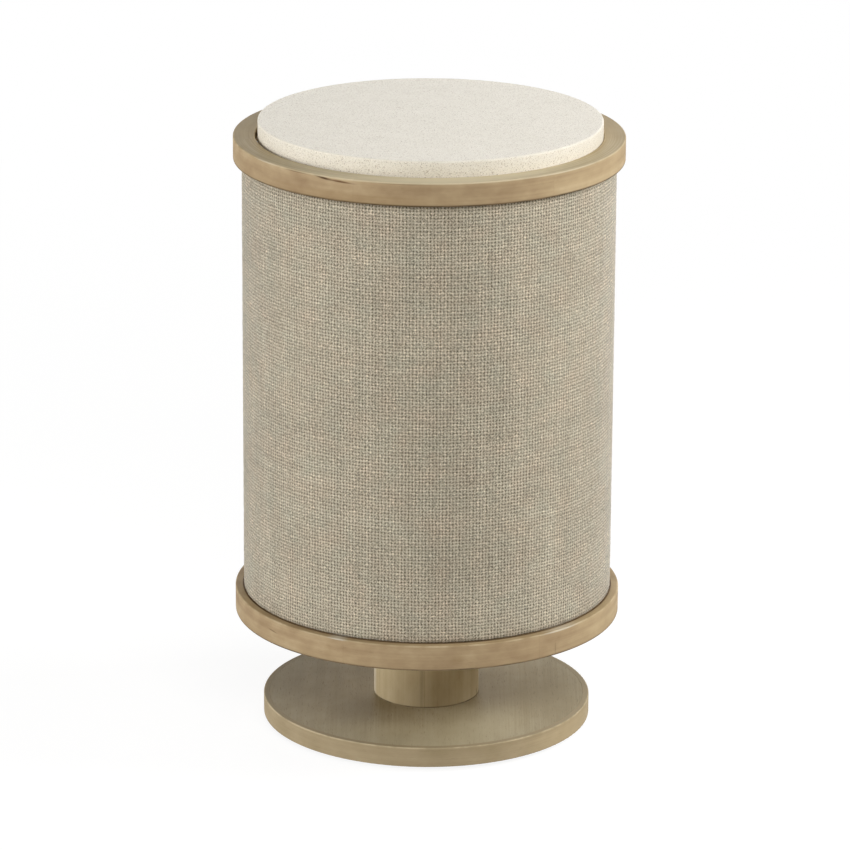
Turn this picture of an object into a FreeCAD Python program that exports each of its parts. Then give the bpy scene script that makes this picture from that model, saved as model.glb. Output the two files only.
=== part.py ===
import FreeCAD, Part
import math
import os
import re
import Sketcher

# Drum side table. Millimetres, +Z up, origin on the floor below the middle of the table.
# From the top: a loose stone slab in a segmented wood ring, a cloth-covered drum, a second wood
# ring, a coopered column and a veneered plinth on four levelling glides. The front faces -Y.

# How many of each piece stand round the axis
RING_SEGMENTS = 6
STILES = 6
STAVES = 6
BUMPERS = 6
GLIDES = 4
NUT_SIDES = 6

FULL_TURN = 360
HALF_TURN = 180

# Driving sizes: name, value, what it measures
SIZES = (
    ("ring_diameter", 400, "outside of both wood rings"),
    ("rim_width", 22.5, "flat of the upper ring outside the slab's recess"),
    ("ring_overhang", 8.5, "how far the rings stand out past the cloth"),
    ("ring_lap", 8.5, "ledge of the upper ring over the rim of the deck"),
    ("upper_ring_height", 24.5, "upper ring, bottom to top"),
    ("lower_ring_height", 26.5, "lower ring, bottom to top"),
    ("lower_lip_width", 31, "lip of the lower ring under the floor panel"),
    ("ring_ease", 1.5, "rounding of the rings' edges"),
    ("upper_ring_turn", 8, "angle of the upper ring's first joint, degrees"),
    ("lower_ring_turn", 5, "angle of the lower ring's first joint, degrees"),
    ("spline_thickness", 6, "loose key in a ring joint, across the ring"),
    ("spline_height", 12, "loose key in a ring joint, up the ring"),
    ("spline_length", 24, "loose key in a ring joint, along the ring"),
    ("slab_thickness", 24, "stone slab"),
    ("slab_clearance", 1.5, "gap between the slab and the ring when it lies centred"),
    ("slab_shift", 1.2, "how far off centre the loose slab lies, to the right"),
    ("slab_ease", 1.5, "rounding of the slab's edges"),
    ("bumper_diameter", 12, "soft dot under the slab"),
    ("bumper_thickness", 1.5, "soft dot under the slab"),
    ("bumper_inset", 36, "slab's edge to the middle of a dot"),
    ("deck_thickness", 15, "plywood deck under the slab"),
    ("floor_thickness", 18, "plywood floor of the drum"),
    ("drum_height", 457.5, "between the two rings"),
    ("wrap_thickness", 1.2, "woven cloth"),
    ("seam_gap", 0.4, "slit where the ends of the cloth meet, at the back"),
    ("skin_thickness", 6, "bent plywood of the drum"),
    ("skin_ease", 2, "rounding of the skin's ends under the cloth"),
    ("stile_width", 40, "upright, along the drum's wall"),
    ("stile_depth", 22, "upright, towards the axis"),
    ("former_web", 15, "hoop, inside its notches"),
    ("former_thickness", 15, "hoop at mid height"),
    ("pedestal_gap", 94.5, "plinth to lower ring"),
    ("column_diameter", 110, "column"),
    ("column_turn", 28, "angle of the column's first joint, degrees"),
    ("stave_thickness", 22, "stave at its middle"),
    ("plug_thickness", 18, "plug in each end of the hollow column"),
    ("plinth_diameter", 342, "plinth"),
    ("plinth_thickness", 21, "plinth with its veneers"),
    ("plinth_ease", 1, "rounding of the plinth's edges"),
    ("lipping_width", 6, "solid band round the plinth"),
    ("veneer_thickness", 0.8, "veneer on both faces of the plinth"),
    ("rod_diameter", 10, "tie rod, nominal thread"),
    ("rod_clearance", 0.5, "gap round the rod in wood"),
    ("rod_end", 1.5, "rod past its nuts"),
    ("rod_chamfer", 0.8, "bevel at the rod's ends"),
    ("nut_flats", 17, "nut across its flats"),
    ("nut_height", 8, "nut"),
    ("washer_diameter", 30, "washer"),
    ("washer_thickness", 2, "washer"),
    ("counterbore_clearance", 2, "gap round the washer in the plinth"),
    ("nut_cover", 0.5, "rod's lower end inside the plinth's underside"),
    ("screw_diameter", 4, "wood screw's shank"),
    ("screw_head_diameter", 8, "wood screw's countersunk head"),
    ("screw_head_height", 2.5, "wood screw's countersunk head"),
    ("screw_point", 4, "wood screw's pointed end"),
    ("screw_bite", 30, "wood screw's length in the end of a stile"),
    ("screw_cover", 3, "wood left beyond the point of a ring screw"),
    ("pad_diameter", 25, "foot of a levelling glide"),
    ("pad_thickness", 5, "foot of a levelling glide"),
    ("pad_bevel", 1, "bevel round the foot"),
    ("stud_diameter", 8, "thread of a levelling glide"),
    ("stud_chamfer", 0.8, "bevel at the stud's end"),
    ("stud_cover", 5, "stud's end to the top of the plinth"),
    ("collar_diameter", 14, "collar of the stud, sunk in the foot"),
    ("collar_thickness", 2.5, "collar of the stud, sunk in the foot"),
    ("socket_flange_diameter", 19, "flange of the threaded socket"),
    ("socket_flange_thickness", 1.5, "flange of the threaded socket"),
    ("socket_barrel_diameter", 10.6, "barrel of the threaded socket"),
    ("socket_length", 12, "threaded socket, flange and barrel"),
    ("glide_inset", 46, "plinth's edge to the middle of a glide"),
    ("thread_clearance", 0.2, "gap round a thread in its nut or socket"),
    ("glue_line", 0.15, "gap at glued curved faces and round keys"),
    ("screw_fit", 0.1, "gap round a screw in its hole"),
)

# Levels and radii that follow from the driving sizes
PLACES = (
    ("plinth_base", "pad_thickness"),
    ("plinth_face", "plinth_base + plinth_thickness"),
    ("core_base", "plinth_base + veneer_thickness"),
    ("core_face", "plinth_face - veneer_thickness"),
    ("lower_ring_base", "plinth_face + pedestal_gap"),
    ("lower_ring_face", "lower_ring_base + lower_ring_height"),
    ("floor_base", "lower_ring_face - floor_thickness"),
    ("upper_ring_base", "lower_ring_face + drum_height"),
    ("upper_ring_face", "upper_ring_base + upper_ring_height"),
    ("deck_face", "upper_ring_base + deck_thickness"),
    ("slab_base", "deck_face + bumper_thickness"),
    ("slab_face", "slab_base + slab_thickness"),
    ("skin_base", "lower_ring_face + wrap_thickness"),
    ("skin_face", "upper_ring_base - wrap_thickness"),
    ("former_base", "(lower_ring_face + upper_ring_base - former_thickness) / 2"),
    ("column_height", "floor_base - plinth_face"),
    ("ring_radius", "ring_diameter / 2"),
    ("recess_radius", "ring_radius - rim_width"),
    ("slab_radius", "recess_radius - slab_clearance"),
    ("deck_radius", "recess_radius + ring_lap"),
    ("rebate_radius", "deck_radius + glue_line"),
    ("lip_radius", "rebate_radius - lower_lip_width"),
    ("wrap_radius", "ring_radius - ring_overhang"),
    ("wrap_bore", "wrap_radius - wrap_thickness"),
    ("wrap_ease", "skin_ease + wrap_thickness"),
    ("skin_radius", "wrap_bore - glue_line"),
    ("skin_bore", "skin_radius - skin_thickness"),
    ("stile_face", "skin_bore - glue_line"),
    ("stile_back", "stile_face - stile_depth"),
    ("notch_back", "stile_back - glue_line"),
    ("notch_side", "stile_width / 2 + glue_line"),
    ("former_bore", "notch_back - former_web"),
    ("column_radius", "column_diameter / 2"),
    ("column_hollow", "column_radius - stave_thickness"),
    ("plug_corner", f"(column_hollow - glue_line) / cos({HALF_TURN} / {STAVES})"),
    ("plinth_radius", "plinth_diameter / 2"),
    ("lipping_bore", "plinth_radius - lipping_width"),
    ("core_radius", "lipping_bore - glue_line"),
    ("rod_radius", "rod_diameter / 2"),
    ("rod_hole", "rod_radius + rod_clearance"),
    ("nut_bore", "rod_radius + thread_clearance"),
    ("nut_corner", f"nut_flats / 2 / cos({HALF_TURN} / {NUT_SIDES})"),
    ("washer_radius", "washer_diameter / 2"),
    ("counterbore_radius", "washer_radius + counterbore_clearance"),
    ("rod_base", "plinth_base + nut_cover"),
    ("lower_nut_base", "rod_base + rod_end"),
    ("lower_washer_base", "lower_nut_base + nut_height"),
    ("counterbore_face", "lower_washer_base + washer_thickness"),
    ("upper_nut_base", "lower_ring_face + washer_thickness"),
    ("rod_face", "upper_nut_base + nut_height + rod_end"),
    ("spline_place", "(rebate_radius + ring_radius) / 2"),
    ("upper_spline_base", "(upper_ring_base + upper_ring_face - spline_height) / 2"),
    ("lower_spline_base", "(lower_ring_base + lower_ring_face - spline_height) / 2"),
    ("bumper_place", "slab_radius - bumper_inset"),
    ("stile_screw_place", "stile_face - stile_depth / 2"),
    ("deck_screw_point", "upper_ring_base - screw_bite"),
    ("floor_screw_point", "lower_ring_face + screw_bite"),
    ("upper_screw_place", "recess_radius + ring_lap / 2"),
    ("upper_screw_point", "upper_ring_face - screw_cover"),
    ("lower_screw_place", "rebate_radius - lower_lip_width / 2"),
    ("lower_screw_point", "lower_ring_face - screw_cover"),
    ("glide_place", "plinth_radius - glide_inset"),
    ("stud_radius", "stud_diameter / 2"),
    ("stud_face", "plinth_face - stud_cover"),
    ("collar_base", "pad_thickness - collar_thickness"),
    ("socket_bore", "stud_radius + thread_clearance"),
    ("socket_face", "plinth_base + socket_length"),
)

doc = FreeCAD.newDocument("drum_side_table")
HOME = {row[0]: "Sizes" for row in SIZES}
HOME.update({row[0]: "Places" for row in PLACES})
nodes = []


def bound(text):
    """An expression in which each size or place is spelt with the sheet that holds it."""
    def spelt(found):
        word = found[0]
        return f"{HOME[word]}.{word}" if word in HOME else word
    return re.sub(r"[a-z_]+", spelt, text)


def fill_sheets():
    """Puts the driving sizes in one sheet and what follows from them in another."""
    sizes = doc.addObject("Spreadsheet::Sheet", "Sizes")
    for row, (name, value, meaning) in enumerate(SIZES, 1):
        sizes.set(f"A{row}", str(value))
        sizes.setAlias(f"A{row}", name)
        sizes.set(f"B{row}", f"{name}: {meaning}")
    places = doc.addObject("Spreadsheet::Sheet", "Places")
    for row, (name, formula) in enumerate(PLACES, 1):
        places.set(f"A{row}", "=" + bound(formula).replace("Places.", ""))
        places.setAlias(f"A{row}", name)
    doc.recompute()
    return sizes, places


sizes, places = fill_sheets()


def node(thing, label):
    """Names a finished sub-part."""
    thing.Label = label
    nodes.append(thing)
    return thing


def new_body(label, turn=0):
    """A body for one sub-part, turned about the table's axis."""
    body = node(doc.addObject("PartDesign::Body", label), label)
    body.Placement.Rotation = FreeCAD.Rotation(FreeCAD.Vector(0, 0, 1), turn)
    return body


def origin(body, role):
    return next(feature for feature in body.Origin.OriginFeatures if feature.Role == role)


def sketch_on(body, role, level="", turn=0):
    """An empty sketch on an origin plane, raised to a level or turned about the table's axis."""
    sketch = body.newObject("Sketcher::SketchObject", "Sketch")
    sketch.AttachmentSupport = [(origin(body, role), "")]
    sketch.MapMode = "FlatFace"
    sketch.AttachmentOffset.Rotation = FreeCAD.Rotation(FreeCAD.Vector(0, 1, 0), turn)
    if level:
        sketch.setExpression("AttachmentOffset.Base.z", bound(level))
    return sketch


def tie(sketch, kind, target, text, value):
    """One coordinate of a point, measured from the sketch's origin."""
    if value == 0:
        axis = {"DistanceX": -2, "DistanceY": -1}[kind]
        sketch.addConstraint(Sketcher.Constraint("PointOnObject", *target, axis))
        return
    index = sketch.addConstraint(Sketcher.Constraint(kind, -1, 1, *target, value))
    sketch.setExpression(f"Constraints[{index}]", bound(text))


def tie_point(sketch, target, corner):
    across, up = (float(sketch.evalExpression(bound(text))) for text in corner)
    tie(sketch, "DistanceX", target, corner[0], across)
    tie(sketch, "DistanceY", target, corner[1], up)


def draw_line(sketch, start, end, construction=False):
    ends = [[float(sketch.evalExpression(bound(text))) for text in corner] for corner in (start, end)]
    line = Part.LineSegment(*(FreeCAD.Vector(*point, 0) for point in ends))
    return sketch.addGeometry(line, construction)


def outline(sketch, corners):
    """A closed outline whose corners are pairs of expressions."""
    lines = [draw_line(sketch, *pair) for pair in zip(corners, corners[1:] + corners[:1])]
    for line, after in zip(lines, lines[1:] + lines[:1]):
        sketch.addConstraint(Sketcher.Constraint("Coincident", line, 2, after, 1))
    for line, corner in zip(lines, corners):
        tie_point(sketch, (line, 1), corner)


def circle(sketch, radius, across="0"):
    """A circle with its middle on the sketch's X axis."""
    size = float(sketch.evalExpression(bound(radius)))
    middle = FreeCAD.Vector(float(sketch.evalExpression(bound(across))), 0, 0)
    round_line = sketch.addGeometry(Part.Circle(middle, FreeCAD.Vector(0, 0, 1), size), False)
    tie_point(sketch, (round_line, 3), (across, "0"))
    index = sketch.addConstraint(Sketcher.Constraint("Radius", round_line, size))
    sketch.setExpression(f"Constraints[{index}]", bound(radius))


def extrude(body, kind, sketch, length):
    """A Pad or Pocket that rises from its sketch."""
    feature = body.newObject(f"PartDesign::{kind}", kind)
    feature.Profile = sketch
    feature.setExpression("Length", bound(length))
    feature.Reversed = kind == "Pocket"
    return feature


def turned(body, kind, corners, angle=FULL_TURN, axis="", turn=0):
    """A Revolution or Groove about the table's axis, or about an upright at the given distance from it."""
    sketch = sketch_on(body, "XZ_Plane", turn=turn)
    if axis:
        corners = [(f"{axis} + {across}", up) for across, up in corners]
        upright = draw_line(sketch, (axis, corners[0][1]), (axis, corners[-1][1]), True)
        tie_point(sketch, (upright, 1), (axis, corners[0][1]))
        tie_point(sketch, (upright, 2), (axis, corners[-1][1]))
    outline(sketch, corners)
    feature = body.newObject(f"PartDesign::{kind}", kind)
    feature.Profile = sketch
    feature.ReferenceAxis = (sketch, ["Axis0" if axis else "V_Axis"])
    feature.Angle = angle
    return feature


def around(body, feature, count, angle=FULL_TURN):
    """Repeats a feature about the table's axis."""
    pattern = body.newObject("PartDesign::PolarPattern", "PolarPattern")
    pattern.Originals = [feature]
    pattern.Axis = (origin(body, "Z_Axis"), [""])
    pattern.Angle = angle
    pattern.Occurrences = count
    body.Tip = pattern
    return pattern


def ease(body, radius, arcs):
    """Rounds the circular edges at the given radii and levels."""
    doc.recompute()
    base = body.Tip
    wanted = [(places.get(across), places.get(level)) for across, level in arcs]
    edges = []
    for number, edge in enumerate(base.Shape.Edges, 1):
        if isinstance(edge.Curve, Part.Circle):
            found = (edge.Curve.Radius, edge.CenterOfMass.z)
            if any(math.isclose(found[0], a) and math.isclose(found[1], z) for a, z in wanted):
                edges.append(f"Edge{number}")
    fillet = body.newObject("PartDesign::Fillet", "Fillet")
    fillet.Base = (base, edges)
    fillet.setExpression("Radius", bound(radius))
    return fillet


def screw_outline(head, point, fit):
    """Half of a countersunk screw from its head to its point, with a gap all round for its hole."""
    way = "+" if places.get(point) > places.get(head) else "-"
    back = "-" if way == "+" else "+"
    return [
        ("0", head),
        (f"screw_head_diameter / 2 + {fit}", head),
        (f"screw_diameter / 2 + {fit}", f"{head} {way} screw_head_height"),
        (f"screw_diameter / 2 + {fit}", f"{point} {back} screw_point {way} {fit}"),
        ("0", f"{point} {way} {fit}"),
    ]


def screw_group(label, place, head, point, count, turn):
    body = new_body(label, turn)
    screw = turned(body, "Revolution", screw_outline(head, point, "0"), axis=place)
    around(body, screw, count)


def screw_hole(body, place, head, point, turn=0):
    return turned(body, "Groove", screw_outline(head, point, "screw_fit"), axis=place, turn=turn)


def make_slab():
    """The loose disc, which lies a little to one side in its recess."""
    body = new_body("top_slab")
    sketch = sketch_on(body, "XY_Plane", "slab_base")
    circle(sketch, "slab_radius", "slab_shift")
    extrude(body, "Pad", sketch, "slab_thickness")
    ease(body, "slab_ease", [("slab_radius", "slab_base"), ("slab_radius", "slab_face")])


def make_bumpers():
    body = new_body("slab_bumpers")
    sketch = sketch_on(body, "XY_Plane", "deck_face")
    circle(sketch, "bumper_diameter / 2", "bumper_place")
    around(body, extrude(body, "Pad", sketch, "bumper_thickness"), BUMPERS)


def make_ring_segment(label, turn, profile, spline_base, screw, eased):
    """One arc of a ring, with a mortise for half a loose key at each end and a screw hole at its middle."""
    step = FULL_TURN / RING_SEGMENTS
    body = new_body(label, turn)
    turned(body, "Revolution", profile, angle=step)
    sketch = sketch_on(body, "XY_Plane", f"{spline_base} - glue_line")
    inner = "spline_place - spline_thickness / 2 - glue_line"
    outer = "spline_place + spline_thickness / 2 + glue_line"
    end = "spline_length / 2 + glue_line"
    outline(sketch, [(inner, f"-({end})"), (outer, f"-({end})"), (outer, end), (inner, end)])
    around(body, extrude(body, "Pocket", sketch, "spline_height + 2 * glue_line"), 2, step)
    screw_hole(body, *screw, turn=step / 2)
    ease(body, "ring_ease", eased)


def make_splines(label, turn, base):
    body = new_body(label, turn)
    sketch = sketch_on(body, "XY_Plane", base)
    inner = "spline_place - spline_thickness / 2"
    outer = "spline_place + spline_thickness / 2"
    end = "spline_length / 2"
    outline(sketch, [(inner, f"-{end}"), (outer, f"-{end}"), (outer, end), (inner, end)])
    around(body, extrude(body, "Pad", sketch, "spline_height"), RING_SEGMENTS)


UPPER_RING_SCREW = ("upper_screw_place", "upper_ring_base", "upper_screw_point")
LOWER_RING_SCREW = ("lower_screw_place", "lower_ring_base", "lower_screw_point")
DECK_SCREW = ("stile_screw_place", "deck_face", "deck_screw_point")
FLOOR_SCREW = ("stile_screw_place", "floor_base", "floor_screw_point")


def make_rings():
    """Both wood rings: the upper one laps over the deck, the lower one holds the floor in a rebate."""
    step = FULL_TURN / RING_SEGMENTS
    upper = [("recess_radius", "deck_face"), ("recess_radius", "upper_ring_face"),
             ("ring_radius", "upper_ring_face"), ("ring_radius", "upper_ring_base"),
             ("rebate_radius", "upper_ring_base"), ("rebate_radius", "deck_face")]
    upper_eased = [("ring_radius", "upper_ring_face"), ("ring_radius", "upper_ring_base"),
                   ("recess_radius", "upper_ring_face")]
    lower = [("lip_radius", "lower_ring_base"), ("lip_radius", "floor_base"),
             ("rebate_radius", "floor_base"), ("rebate_radius", "lower_ring_face"),
             ("ring_radius", "lower_ring_face"), ("ring_radius", "lower_ring_base")]
    lower_eased = [("ring_radius", "lower_ring_face"), ("ring_radius", "lower_ring_base"),
                   ("lip_radius", "lower_ring_base")]
    for number in range(RING_SEGMENTS):
        make_ring_segment(f"upper_ring_segment_{number + 1}", sizes.upper_ring_turn + number * step,
                          upper, "upper_spline_base", UPPER_RING_SCREW, upper_eased)
        make_ring_segment(f"lower_ring_segment_{number + 1}", sizes.lower_ring_turn + number * step,
                          lower, "lower_spline_base", LOWER_RING_SCREW, lower_eased)
    make_splines("upper_ring_splines", sizes.upper_ring_turn, "upper_spline_base")
    make_splines("lower_ring_splines", sizes.lower_ring_turn, "lower_spline_base")
    screw_group("upper_ring_screws", *UPPER_RING_SCREW, RING_SEGMENTS, sizes.upper_ring_turn + step / 2)
    screw_group("lower_ring_screws", *LOWER_RING_SCREW, RING_SEGMENTS, sizes.lower_ring_turn + step / 2)


def make_panels():
    """The plywood discs that close the drum, drilled for the screws and the rod."""
    half = FULL_TURN / RING_SEGMENTS / 2
    deck = new_body("deck_panel")
    turned(deck, "Revolution", [("0", "upper_ring_base"), ("deck_radius", "upper_ring_base"),
                                ("deck_radius", "deck_face"), ("0", "deck_face")])
    around(deck, screw_hole(deck, *DECK_SCREW), STILES)
    around(deck, screw_hole(deck, *UPPER_RING_SCREW, sizes.upper_ring_turn + half), RING_SEGMENTS)
    floor = new_body("floor_panel")
    turned(floor, "Revolution", [("rod_hole", "floor_base"), ("deck_radius", "floor_base"),
                                 ("deck_radius", "lower_ring_face"), ("rod_hole", "lower_ring_face")])
    around(floor, screw_hole(floor, *FLOOR_SCREW), STILES)
    around(floor, screw_hole(floor, *LOWER_RING_SCREW, sizes.lower_ring_turn + half), RING_SEGMENTS)
    screw_group("deck_screws", *DECK_SCREW, STILES, 0)
    screw_group("floor_screws", *FLOOR_SCREW, STILES, 0)


def make_stiles():
    """Uprights between floor and deck, with their outer faces rounded to the skin."""
    side = "stile_width / 2"
    for number in range(STILES):
        body = new_body(f"drum_stile_{number + 1}", number * FULL_TURN / STILES)
        sketch = sketch_on(body, "XY_Plane", "lower_ring_face")
        outline(sketch, [("stile_back", f"-{side}"), ("stile_face", f"-{side}"),
                         ("stile_face", side), ("stile_back", side)])
        extrude(body, "Pad", sketch, "drum_height")
        turned(body, "Groove", [("stile_face", "lower_ring_face"), ("ring_radius", "lower_ring_face"),
                                ("ring_radius", "upper_ring_base"), ("stile_face", "upper_ring_base")])
        screw_hole(body, *DECK_SCREW)
        screw_hole(body, *FLOOR_SCREW)


def make_former():
    """The hoop at mid height, notched round the stiles."""
    body = new_body("drum_former")
    sketch = sketch_on(body, "XY_Plane", "former_base")
    circle(sketch, "stile_face")
    circle(sketch, "former_bore")
    extrude(body, "Pad", sketch, "former_thickness")
    sketch = sketch_on(body, "XY_Plane", "former_base")
    outline(sketch, [("notch_back", "-notch_side"), ("ring_radius", "-notch_side"),
                     ("ring_radius", "notch_side"), ("notch_back", "notch_side")])
    around(body, extrude(body, "Pocket", sketch, "former_thickness"), STILES)


def make_skins():
    """Two half shells of bent plywood, which meet on the stiles at the sides."""
    for label, turn in (("drum_skin_back", 0), ("drum_skin_front", HALF_TURN)):
        body = new_body(label, turn)
        turned(body, "Revolution", [("skin_bore", "skin_base"), ("skin_radius", "skin_base"),
                                    ("skin_radius", "skin_face"), ("skin_bore", "skin_face")], HALF_TURN)
        ease(body, "skin_ease", [("skin_radius", "skin_base"), ("skin_radius", "skin_face")])


def make_wrap():
    """The cloth, turned in over both ends of the skins, with a slit at the back where its ends meet."""
    body = new_body("woven_wrap", -FULL_TURN / 4)
    cloth = turned(body, "Revolution", [
        ("skin_bore", "lower_ring_face"), ("wrap_radius", "lower_ring_face"),
        ("wrap_radius", "upper_ring_base"), ("skin_bore", "upper_ring_base"),
        ("skin_bore", "skin_face"), ("wrap_bore", "skin_face"),
        ("wrap_bore", "skin_base"), ("skin_bore", "skin_base")])
    cloth.Midplane = True
    cloth.setExpression("Angle", bound(f"{FULL_TURN} - seam_gap / wrap_radius * {HALF_TURN} / pi"))
    ease(body, "wrap_ease", [("wrap_radius", "lower_ring_face"), ("wrap_radius", "upper_ring_base")])
    ease(body, "skin_ease", [("wrap_bore", "skin_base"), ("wrap_bore", "skin_face")])


def make_staves():
    """Bevelled staves that meet on radial faces round a hexagonal hollow."""
    step = FULL_TURN / STAVES
    for number in range(STAVES):
        body = new_body(f"column_stave_{number + 1}", sizes.column_turn + (number + 0.5) * step)
        sector = turned(body, "Revolution", [("0", "plinth_face"), ("column_radius", "plinth_face"),
                                             ("column_radius", "floor_base"), ("0", "floor_base")], step)
        sector.Midplane = True
        sketch = sketch_on(body, "XY_Plane", "plinth_face")
        outline(sketch, [("0", "-column_radius"), ("column_hollow", "-column_radius"),
                         ("column_hollow", "column_radius"), ("0", "column_radius")])
        extrude(body, "Pocket", sketch, "column_height")


def prism_blank(name, sides, corner, base, height, turn):
    """An upright prism on the table's axis."""
    prism = doc.addObject("Part::Prism", name)
    prism.Polygon = sides
    prism.Placement.Rotation = FreeCAD.Rotation(FreeCAD.Vector(0, 0, 1), turn)
    prism.setExpression("Circumradius", bound(corner))
    prism.setExpression("Height", bound(height))
    prism.setExpression("Placement.Base.z", bound(base))
    return prism


def drilled(name, blank, bore, base, height):
    """A blank with a round hole along the table's axis."""
    drill = doc.addObject("Part::Cylinder", name + "_drill")
    drill.setExpression("Radius", bound(bore))
    drill.setExpression("Height", bound(height))
    drill.setExpression("Placement.Base.z", bound(base))
    cut = doc.addObject("Part::Cut", name)
    cut.Base = blank
    cut.Tool = drill
    return cut


def make_plugs():
    """Plugs that fill both ends of the hollow column round the rod."""
    bases = {"column_plug_lower": "plinth_face", "column_plug_upper": "floor_base - plug_thickness"}
    for label, base in bases.items():
        size = ("plug_corner", base, "plug_thickness")
        blank = prism_blank(label + "_blank", STAVES, *size, sizes.column_turn)
        node(drilled(label, blank, "rod_hole", base, "plug_thickness"), label)


def make_tie_rod():
    """The rod that clamps floor, column and plinth, with a washer and a nut at each end."""
    rod = new_body("tie_rod")
    tip = "rod_radius - rod_chamfer"
    turned(rod, "Revolution", [
        ("0", "rod_base"), (tip, "rod_base"), ("rod_radius", "rod_base + rod_chamfer"),
        ("rod_radius", "rod_face - rod_chamfer"), (tip, "rod_face"), ("0", "rod_face")])
    nuts = []
    for base in ("lower_nut_base", "upper_nut_base"):
        blank = prism_blank(base + "_blank", NUT_SIDES, "nut_corner", base, "nut_height", 0)
        nuts.append(drilled(base + "_nut", blank, "nut_bore", base, "nut_height"))
    pair = node(doc.addObject("Part::Compound", "tie_rod_nuts"), "tie_rod_nuts")
    pair.Links = nuts
    washers = new_body("tie_rod_washers")
    for base in ("lower_washer_base", "lower_ring_face"):
        face = f"{base} + washer_thickness"
        turned(washers, "Revolution", [("rod_hole", base), ("washer_radius", base),
                                       ("washer_radius", face), ("rod_hole", face)])


def socket_outline(bore, fit):
    """Half of a flanged threaded socket, with a gap all round for its hole."""
    return [
        (bore, "plinth_base"),
        (f"socket_flange_diameter / 2 + {fit}", "plinth_base"),
        (f"socket_flange_diameter / 2 + {fit}", "plinth_base + socket_flange_thickness"),
        (f"socket_barrel_diameter / 2 + {fit}", "plinth_base + socket_flange_thickness"),
        (f"socket_barrel_diameter / 2 + {fit}", "socket_face"),
        (bore, "socket_face"),
    ]


def socket_holes(body):
    """Holes that the sockets are pressed into."""
    hole = turned(body, "Groove", socket_outline("0", "glue_line"), axis="glide_place")
    around(body, hole, GLIDES)


def stud_holes(body):
    """Holes beyond the sockets, as far as the ends of the studs reach."""
    end = "stud_face + thread_clearance"
    hole = turned(body, "Groove", [("0", "plinth_base"), ("socket_bore", "plinth_base"),
                                   ("socket_bore", end), ("0", end)], axis="glide_place")
    around(body, hole, GLIDES)


def make_plinth():
    """A veneered board in a solid-wood band, with the tie rod's counterbore and the glide sockets."""
    turn = FULL_TURN / GLIDES / 2
    core = new_body("plinth_core", turn)
    turned(core, "Revolution", [
        ("rod_hole", "core_face"), ("core_radius", "core_face"), ("core_radius", "core_base"),
        ("counterbore_radius", "core_base"), ("counterbore_radius", "counterbore_face"),
        ("rod_hole", "counterbore_face")])
    socket_holes(core)
    stud_holes(core)
    top = new_body("plinth_top_veneer")
    turned(top, "Revolution", [("rod_hole", "core_face"), ("core_radius", "core_face"),
                               ("core_radius", "plinth_face"), ("rod_hole", "plinth_face")])
    bottom = new_body("plinth_bottom_veneer", turn)
    turned(bottom, "Revolution", [("counterbore_radius", "plinth_base"), ("core_radius", "plinth_base"),
                                  ("core_radius", "core_base"), ("counterbore_radius", "core_base")])
    socket_holes(bottom)
    lipping = new_body("plinth_lipping")
    turned(lipping, "Revolution", [("lipping_bore", "plinth_base"), ("plinth_radius", "plinth_base"),
                                   ("plinth_radius", "plinth_face"), ("lipping_bore", "plinth_face")])
    ease(lipping, "plinth_ease", [("plinth_radius", "plinth_base"), ("plinth_radius", "plinth_face")])
    sockets = new_body("glide_sockets", turn)
    socket = turned(sockets, "Revolution", socket_outline("socket_bore", "0"), axis="glide_place")
    around(sockets, socket, GLIDES)


def make_glides():
    """Levelling glides: a bevelled foot with a threaded stud whose collar is sunk in it."""
    for number in range(GLIDES):
        turn = (number + 0.5) * FULL_TURN / GLIDES
        pad = new_body(f"glide_pad_{number + 1}", turn)
        turned(pad, "Revolution", [
            ("0", "0"), ("pad_diameter / 2 - pad_bevel", "0"), ("pad_diameter / 2", "pad_bevel"),
            ("pad_diameter / 2", "pad_thickness"), ("collar_diameter / 2 + glue_line", "pad_thickness"),
            ("collar_diameter / 2 + glue_line", "collar_base"), ("0", "collar_base")], axis="glide_place")
        stud = new_body(f"glide_stud_{number + 1}", turn)
        turned(stud, "Revolution", [
            ("0", "collar_base"), ("collar_diameter / 2", "collar_base"),
            ("collar_diameter / 2", "pad_thickness"), ("stud_radius", "pad_thickness"),
            ("stud_radius", "stud_face - stud_chamfer"), ("stud_radius - stud_chamfer", "stud_face"),
            ("0", "stud_face")], axis="glide_place")


def check_document():
    """Stops if any feature failed, any cut removed nothing or any sub-part is empty or invalid."""
    for thing in doc.Objects:
        if {"Invalid", "Error"} & set(thing.State):
            raise RuntimeError(f"{thing.Label}: {thing.State}")
        if thing.TypeId in ("PartDesign::Pocket", "PartDesign::Groove"):
            if thing.Shape.Volume >= thing.BaseFeature.Shape.Volume:
                raise RuntimeError(f"{thing.Label} cuts nothing")
    for thing in nodes:
        if thing.Shape.isNull() or not thing.Shape.isValid():
            raise RuntimeError(f"{thing.Label}: bad shape")


def write_parts():
    os.makedirs("parts", exist_ok=True)
    for thing in nodes:
        thing.Shape.exportStep(f"parts/{thing.Label}.step")
        print(f"{thing.Label}: {len(thing.Shape.Solids)} solids, {thing.Shape.Volume:.0f} mm3")


make_slab()
make_bumpers()
make_rings()
make_panels()
make_stiles()
make_former()
make_skins()
make_wrap()
make_staves()
make_plugs()
make_tie_rod()
make_plinth()
make_glides()
doc.recompute()
check_document()
write_parts()
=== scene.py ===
# %% [markdown]
# # A drum side table
# A loose stone disc lies in a wood ring, on a drum that is wrapped in coarse woven cloth. Below the
# drum come a second ring, a short column and a round plinth on four levelling glides.
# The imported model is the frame: every rigid piece already has its place and size in it. This lesson
# adds what the eye looks for: the cloth as a real weave, small turned parts, and all the finishes.

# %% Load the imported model
import math

import bpy
import numpy as np
from mathutils import Matrix, Vector


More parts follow.
